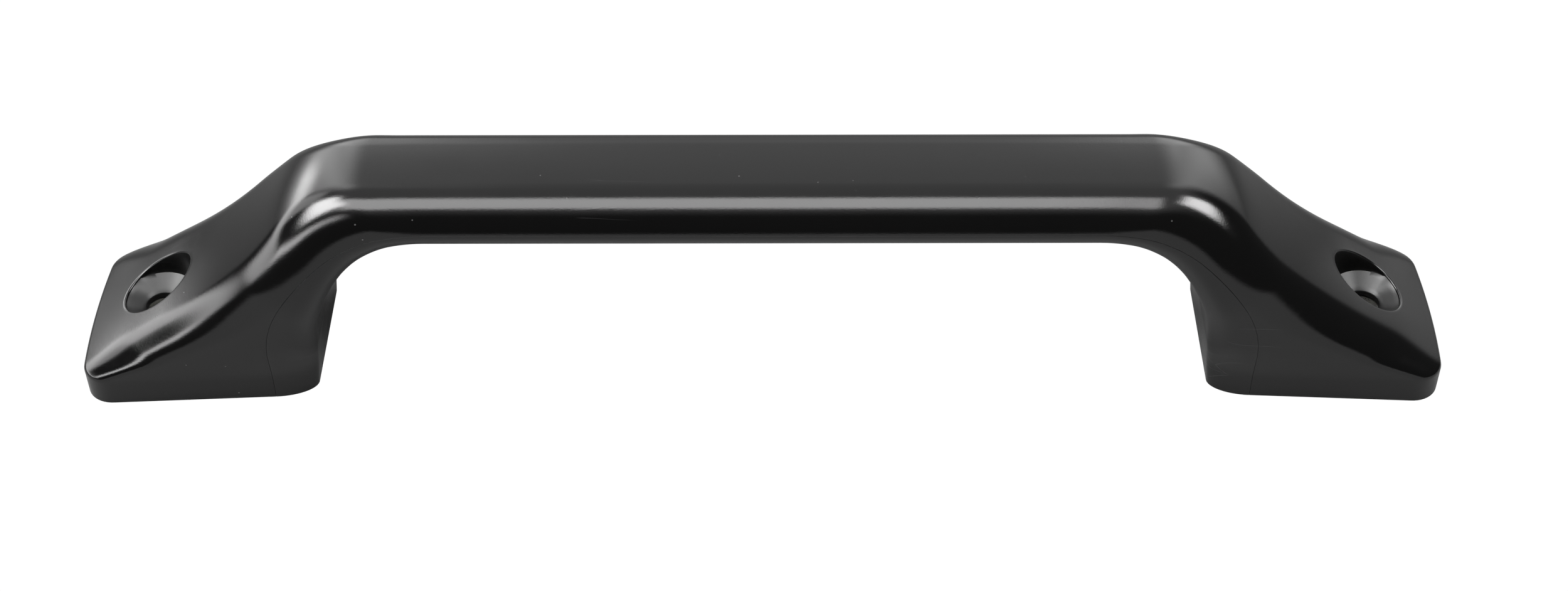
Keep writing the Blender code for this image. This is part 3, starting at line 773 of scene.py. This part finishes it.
def make_camera():
    camera = bpy.data.cameras.new("studio_camera")
    camera.lens = CAMERA_LENS
    camera.sensor_width = 36.0
    camera.clip_start = 0.01
    camera.clip_end = 20.0
    obj = bpy.data.objects.new("studio_camera", camera)
    bpy.context.scene.collection.objects.link(obj)
    forward = Vector((0.0, math.cos(CAMERA_ELEVATION), -math.sin(CAMERA_ELEVATION)))
    right = Vector((1.0, 0.0, 0.0))
    up = right.cross(forward)
    c, s = math.cos(CAMERA_ROLL), math.sin(CAMERA_ROLL)
    rolled_right = right * c + up * s
    rolled_up = up * c - right * s
    spot = CAMERA_TARGET - forward * CAMERA_DISTANCE
    axes = Matrix((rolled_right, rolled_up, -forward)).transposed().to_4x4()
    obj.matrix_world = Matrix.Translation(spot) @ axes
    bpy.context.scene.camera = obj


# The floor, in metres. Its diffuse grey is painted shade: lighter on the side that the handle is seen from,
# darker on the far side.
FLOOR_CORNERS = ((-0.4, -0.45), (1.2, -0.45), (1.2, 2.0), (-0.4, 2.0))
FLOOR_Z = -0.0001                # just below the feet
FLOOR_WHITE = 1.02
FLOOR_PAINTED_SHADE = {"From Min": -0.03, "From Max": 0.06, "To Min": 0.24, "To Max": 0.10}


def make_floor():
    """A plain floor. It shows to the camera as clean white, and light and reflections find it grey, with
    painted shade that darkens it towards the far side.
    """
    bm = bmesh.new()
    corners = [bm.verts.new((x, y, 0.0)) for x, y in FLOOR_CORNERS]
    bm.faces.new(corners)
    mesh = bpy.data.meshes.new("floor")
    bm.to_mesh(mesh)
    bm.free()
    floor = bpy.data.objects.new("floor", mesh)
    floor.location.z = FLOOR_Z
    bpy.context.scene.collection.objects.link(floor)
    material = bpy.data.materials.new("white_sheet")
    material.use_nodes = True
    tree = material.node_tree
    tree.nodes.clear()
    output = tree.nodes.new("ShaderNodeOutputMaterial")
    seen = tree.nodes.new("ShaderNodeEmission")
    seen.inputs["Strength"].default_value = FLOOR_WHITE
    lit = tree.nodes.new("ShaderNodeBsdfDiffuse")
    place = tree.nodes.new("ShaderNodeTexCoord")
    split = tree.nodes.new("ShaderNodeSeparateXYZ")
    # Painted shade: the floor's diffuse grey changes with Y, from lighter on the side the handle is seen
    # from to darker behind it.
    painted_shade_range = tree.nodes.new("ShaderNodeMapRange")
    for key, number in FLOOR_PAINTED_SHADE.items():
        painted_shade_range.inputs[key].default_value = number
    tree.links.new(place.outputs["Object"], split.inputs["Vector"])
    tree.links.new(split.outputs["Y"], painted_shade_range.inputs["Value"])
    tree.links.new(painted_shade_range.outputs["Result"], lit.inputs["Color"])
    path = tree.nodes.new("ShaderNodeLightPath")
    mix = tree.nodes.new("ShaderNodeMixShader")
    tree.links.new(path.outputs["Is Camera Ray"], mix.inputs["Fac"])
    tree.links.new(lit.outputs["BSDF"], mix.inputs[1])
    tree.links.new(seen.outputs["Emission"], mix.inputs[2])
    tree.links.new(mix.outputs["Shader"], output.inputs["Surface"])
    mesh.materials.append(material)


class Room:
    """World shader whose brightness depends on azimuth (0 is +Y, 90 is +X) and elevation, in degrees."""

    def __init__(self):
        world = bpy.data.worlds.new("room")
        world.use_nodes = True
        bpy.context.scene.world = world
        self.tree = world.node_tree
        self.tree.nodes.clear()
        direction = self.tree.nodes.new("ShaderNodeTexCoord")
        split = self.tree.nodes.new("ShaderNodeSeparateXYZ")
        self.tree.links.new(direction.outputs["Generated"], split.inputs["Vector"])
        azimuth = self.math("ARCTAN2", split.outputs["X"], split.outputs["Y"])
        self.azimuth = self.math("MULTIPLY", azimuth, 180.0 / math.pi)
        height = self.math("ARCSINE", split.outputs["Z"])
        self.elevation = self.math("MULTIPLY", height, 180.0 / math.pi)
        self.total = None

    def math(self, operation, a, b=0.0):
        node = self.tree.nodes.new("ShaderNodeMath")
        node.operation = operation
        for socket, value in zip(node.inputs, (a, b)):
            if isinstance(value, (int, float)):
                socket.default_value = value
            else:
                self.tree.links.new(value, socket)
        return node.outputs["Value"]

    def step(self, value, low, high):
        """0 below low and 1 above high, with a smooth change between them."""
        node = self.tree.nodes.new("ShaderNodeMapRange")
        node.interpolation_type = "SMOOTHSTEP"
        node.inputs["From Min"].default_value = low
        node.inputs["From Max"].default_value = high
        self.tree.links.new(value, node.inputs["Value"])
        return node.outputs["Result"]

    def band(self, value, low, high, soft):
        """1 between low and high, fading to 0 over soft degrees round each end."""
        rise = self.step(value, low - soft / 2, low + soft / 2)
        fall = self.step(value, high - soft / 2, high + soft / 2)
        return self.math("SUBTRACT", rise, fall)

    def add(self, level, factor=1.0):
        """Adds light of one level, where the factor is 1."""
        part = self.math("MULTIPLY", factor, level)
        self.total = part if self.total is None else self.math("ADD", self.total, part)

    def lamp(self, level, azimuths, elevations, soft_across, soft_up, turn):
        """Soft-edged bright patch, turned about its middle by an angle in degrees."""
        middle = (sum(azimuths) / 2, sum(elevations) / 2)
        across = self.math("SUBTRACT", self.azimuth, middle[0])
        up = self.math("SUBTRACT", self.elevation, middle[1])
        c, s = math.cos(math.radians(turn)), math.sin(math.radians(turn))
        along = self.math("ADD", self.math("MULTIPLY", across, c), self.math("MULTIPLY", up, s))
        over = self.math("SUBTRACT", self.math("MULTIPLY", up, c), self.math("MULTIPLY", across, s))
        half = ((azimuths[1] - azimuths[0]) / 2, (elevations[1] - elevations[0]) / 2)
        wide = self.band(along, -half[0], half[0], soft_across)
        tall = self.band(over, -half[1], half[1], soft_up)
        self.add(level, self.math("MULTIPLY", wide, tall))

    def finish(self):
        """The camera sees plain white; reflections and light see the room."""
        path = self.tree.nodes.new("ShaderNodeLightPath")
        mix = self.tree.nodes.new("ShaderNodeMix")
        self.tree.links.new(path.outputs["Is Camera Ray"], mix.inputs["Factor"])
        self.tree.links.new(self.total, mix.inputs["A"])
        mix.inputs["B"].default_value = 1.0
        background = self.tree.nodes.new("ShaderNodeBackground")
        self.tree.links.new(mix.outputs["Result"], background.inputs["Strength"])
        output = self.tree.nodes.new("ShaderNodeOutputWorld")
        self.tree.links.new(background.outputs["Background"], output.inputs["Surface"])
        background.inputs["Color"].default_value = (1.0, 1.0, 1.0, 1.0)


# Room light. Levels are brightnesses, and 1 is white. Angles and soft edges are in degrees.
BASE_LEVEL = 0.08
OVERHEAD_LEVEL = 0.72
OVERHEAD_FROM = (40.0, 62.0)
FAR_AZIMUTHS = (-52.0, 52.0)
FAR_LEVEL = 0.42
FAR_BAND_LEVEL = 0.45
FAR_BAND = (16.0, 50.0)

# level, azimuths, elevations, soft edge across, soft edge up, turn
LAMPS = (
    # a tall lamp at each far corner, each with a narrower one nearer the middle
    (2.7, (-43.0, -24.0), (6.0, 58.0), 26.0, 14.0, 0.0),
    (1.5, (-24.0, -9.0), (2.0, 34.0), 8.0, 14.0, 0.0),
    (1.9, (25.0, 42.0), (6.0, 58.0), 26.0, 18.0, 0.0),
    (1.5, (9.0, 24.0), (2.0, 34.0), 8.0, 14.0, 0.0),
    # a bright high lamp on each side
    (20.0, (-122.0, -76.0), (44.0, 62.0), 10.0, 7.0, 0.0),
    (16.0, (80.0, 120.0), (45.0, 62.0), 10.0, 7.0, 0.0),
    # lamps on the left only, low and half way up
    (0.8, (-54.0, -40.0), (2.0, 20.0), 12.0, 6.0, 0.0),
    (5.0, (-112.0, -38.0), (9.0, 21.0), 8.0, 5.0, 0.0),
    (3.0, (-74.0, -52.0), (20.0, 46.0), 6.0, 6.0, 0.0),
    (9.0, (-150.0, -110.0), (24.0, 34.0), 8.0, 6.0, -27.0),
)


def make_room():
    """Soft room light: pale overhead and behind the handle, dark on the side it is seen from."""
    room = Room()
    overhead = room.step(room.elevation, *OVERHEAD_FROM)
    far = room.band(room.azimuth, *FAR_AZIMUTHS, soft=16.0)
    room.add(BASE_LEVEL)
    room.add(OVERHEAD_LEVEL, overhead)
    room.add(FAR_LEVEL, room.math("MULTIPLY", far, room.math("SUBTRACT", 1.0, overhead)))
    room.add(FAR_BAND_LEVEL, room.math("MULTIPLY", far, room.band(room.elevation, *FAR_BAND, soft=24.0)))
    for lamp in LAMPS:
        room.lamp(*lamp)
    room.finish()


# One long softbox above the handle and a little towards the side it is seen from, in metres
STRIP_X = -0.16
STRIP_DISTANCE = 1.0
STRIP_ELEVATION = math.radians(74.0)
STRIP_LENGTH = 0.78
STRIP_HALF_ANGLE = math.radians(13.0)      # half its width, as seen from the handle
STRIP_AIM_Z = 0.03
STRIP_LEVEL = 6.2                          # brightness of its face


def make_strip_light():
    light = bpy.data.lights.new("strip_light", "AREA")
    light.shape = "RECTANGLE"
    light.size = STRIP_LENGTH
    light.size_y = 2.0 * STRIP_DISTANCE * math.tan(STRIP_HALF_ANGLE)
    light.energy = STRIP_LEVEL * math.pi * light.size * light.size_y
    obj = bpy.data.objects.new("strip_light", light)
    centre = Vector((STRIP_X, -STRIP_DISTANCE * math.cos(STRIP_ELEVATION),
                     STRIP_DISTANCE * math.sin(STRIP_ELEVATION)))
    obj.location = centre
    aim = Vector((STRIP_X, 0.0, STRIP_AIM_Z))
    obj.rotation_euler = (aim - centre).to_track_quat("-Z", "Y").to_euler()
    bpy.context.scene.collection.objects.link(obj)


# --------------------------------------------------------------------- main

def dress_cad_nodes():
    """Materials for the seven nodes that keep their own meshes."""
    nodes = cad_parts
    strap_look = brushed_steel("strap_look", (0.60, 0.60, 0.57), 0.36, streak=(12.0, 900.0, 900.0))
    finish(nodes["core_strap"], strap_look)
    sleeve_look = brushed_steel("sleeve_look", (0.68, 0.68, 0.66), 0.28, streak=(60.0, 60.0, 2400.0))
    screw_look = brushed_steel("screw_look", (0.09, 0.09, 0.10), 0.34, streak=(60.0, 60.0, 1800.0))
    rubber = black_rubber()
    for side in ("left", "right"):
        finish(nodes[side + "_spacer_sleeve"], sleeve_look)
        finish(nodes[side + "_shell_screw"], screw_look)
        finish(nodes[side + "_foot_pad"], rubber)


def main():
    cavity = make_cavity()
    front = make_front_shell(cavity)
    back = make_back_shell(cavity)
    bpy.data.objects.remove(cavity, do_unlink=True)
    front_look = black_plastic("front_gloss_black", (0.0012, 0.0012, 0.0012), (0.06, 0.06, 0.06), 0.10)
    back_look = black_plastic("back_satin_black", (0.0015, 0.0015, 0.0015), (0.05, 0.05, 0.05), 0.18)
    finish(front, front_look)
    finish(back, back_look)
    for piece, node in ((front, "front_shell"), (back, "back_shell")):
        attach(piece, "root")
        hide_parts(node)
    dress_cad_nodes()
    make_camera()
    make_floor()
    make_room()
    make_strip_light()
    bpy.context.scene.view_settings.view_transform = "Standard"


main()
